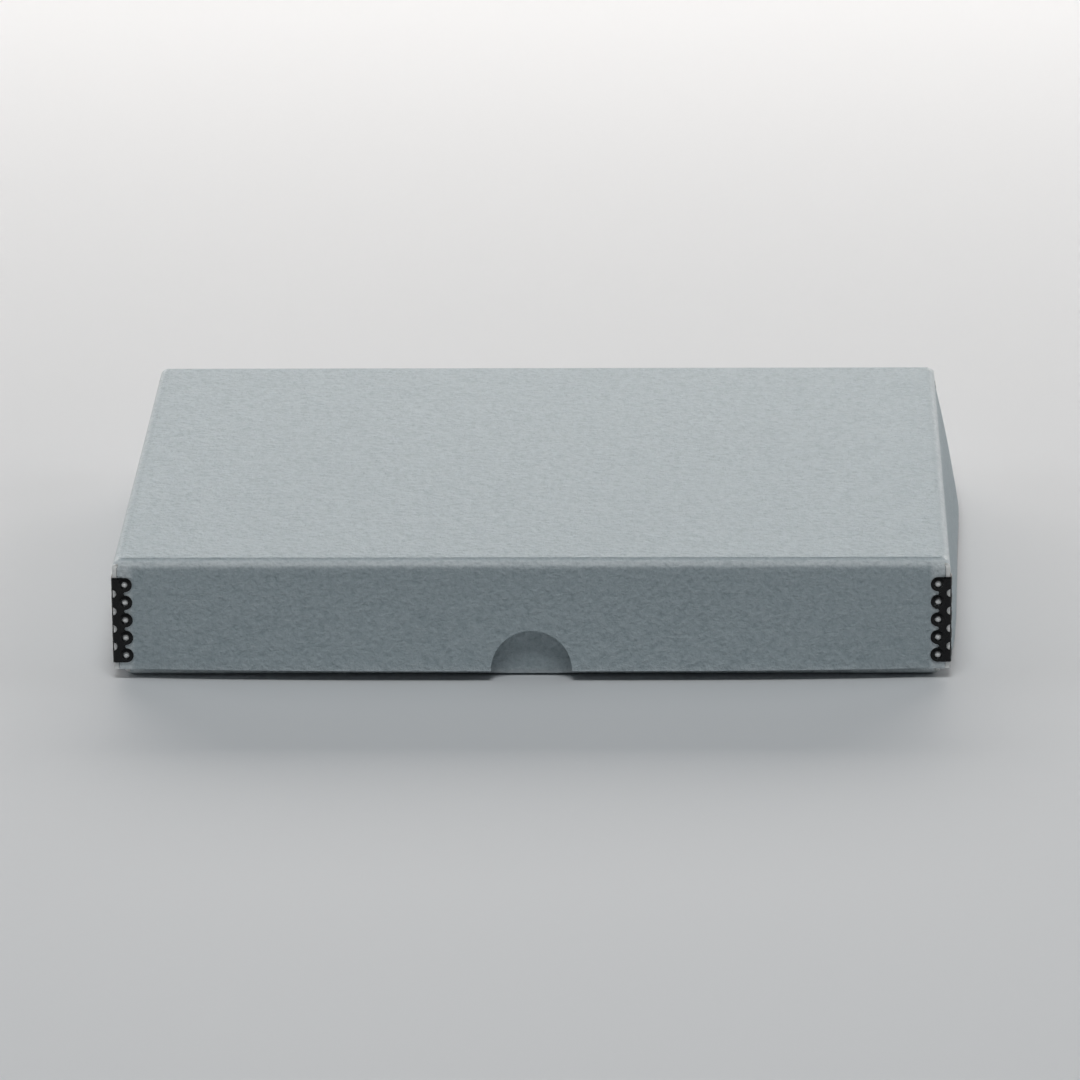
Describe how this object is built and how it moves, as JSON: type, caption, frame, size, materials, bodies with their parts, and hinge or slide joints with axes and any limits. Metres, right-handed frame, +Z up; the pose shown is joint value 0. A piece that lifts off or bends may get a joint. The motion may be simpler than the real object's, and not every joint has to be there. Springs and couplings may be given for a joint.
{
  "type": "archival box",
  "caption": "Shallow two-piece archival box of folded grey board: a tray and a full-depth lift-off lid with a thumb notch, held at the corners by punched metal edges.",
  "frame": {"origin": "middle of the tray's underside, on the surface the box lies on", "axes": "+X along the long side, to the right seen from the front; +Z up; the front, with the lid's thumb notch, faces -Y"},
  "size_m": [0.2906, 0.2309, 0.0412],
  "materials": {
    "grey_board": "matt grey paper face on solid pressed board with a near-white core",
    "black_enamel": "satin black enamel on thin punched steel"
  },
  "bodies": {
    "tray": {"tray_board": "grey_board", "tray_metal_edge_front_left": "black_enamel", "tray_metal_edge_front_right": "black_enamel", "tray_metal_edge_back_right": "black_enamel", "tray_metal_edge_back_left": "black_enamel"},
    "lid": {"lid_board": "grey_board", "lid_metal_edge_front_left": "black_enamel", "lid_metal_edge_front_right": "black_enamel", "lid_metal_edge_back_right": "black_enamel", "lid_metal_edge_back_left": "black_enamel"}
  },
  "joints": [
    {"name": "lid_lift", "type": "slide", "parent": "tray", "child": "lid", "axis": [0, 0, 1], "range_m": [0, 0.1]}
  ]
}
